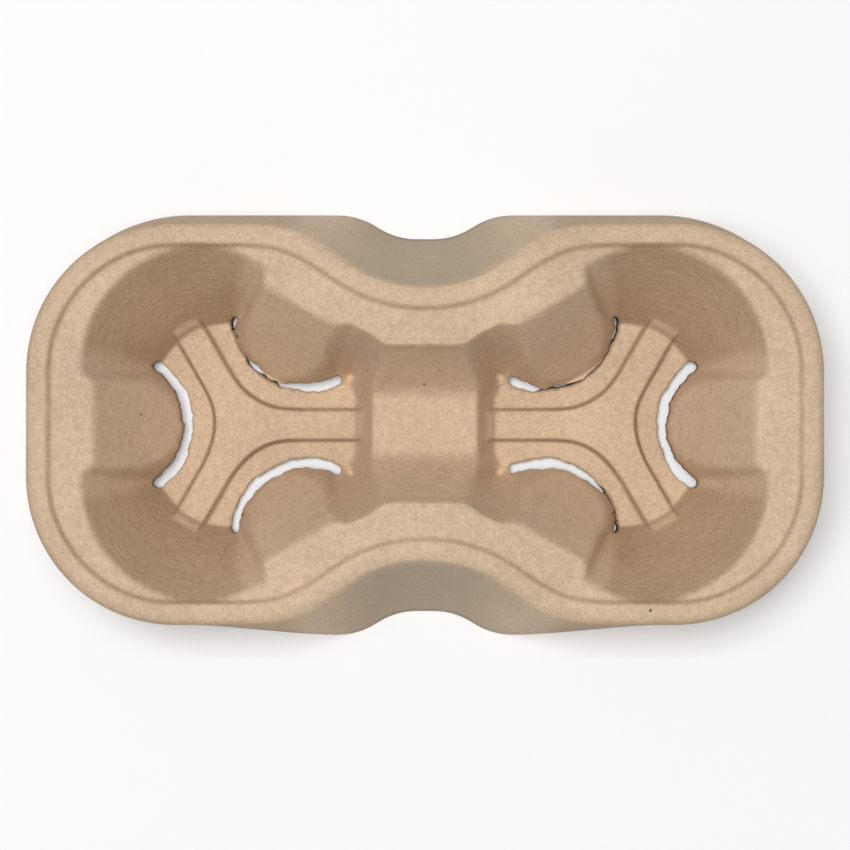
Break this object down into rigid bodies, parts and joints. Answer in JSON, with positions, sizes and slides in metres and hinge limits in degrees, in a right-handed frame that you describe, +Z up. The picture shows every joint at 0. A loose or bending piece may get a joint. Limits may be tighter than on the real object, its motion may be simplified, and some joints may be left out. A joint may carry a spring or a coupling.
{
  "type": "cup carrier",
  "caption": "Moulded pulp cup carrier with round wells side by side, leaning finger flaps, a raised rim band and a pinched waist.",
  "frame": {"origin": "middle of the tray on the plane its skirt stands on", "axes": "+X through both wells, +Y across the waist, +Z up out of the wells"},
  "size_m": [0.217, 0.115, 0.045],
  "materials": {
    "moulded_fibre": "rough, fibrous, unbleached pulp"
  },
  "bodies": {
    "root": {"carrier_tray": "moulded_fibre"}
  },
  "joints": []
}
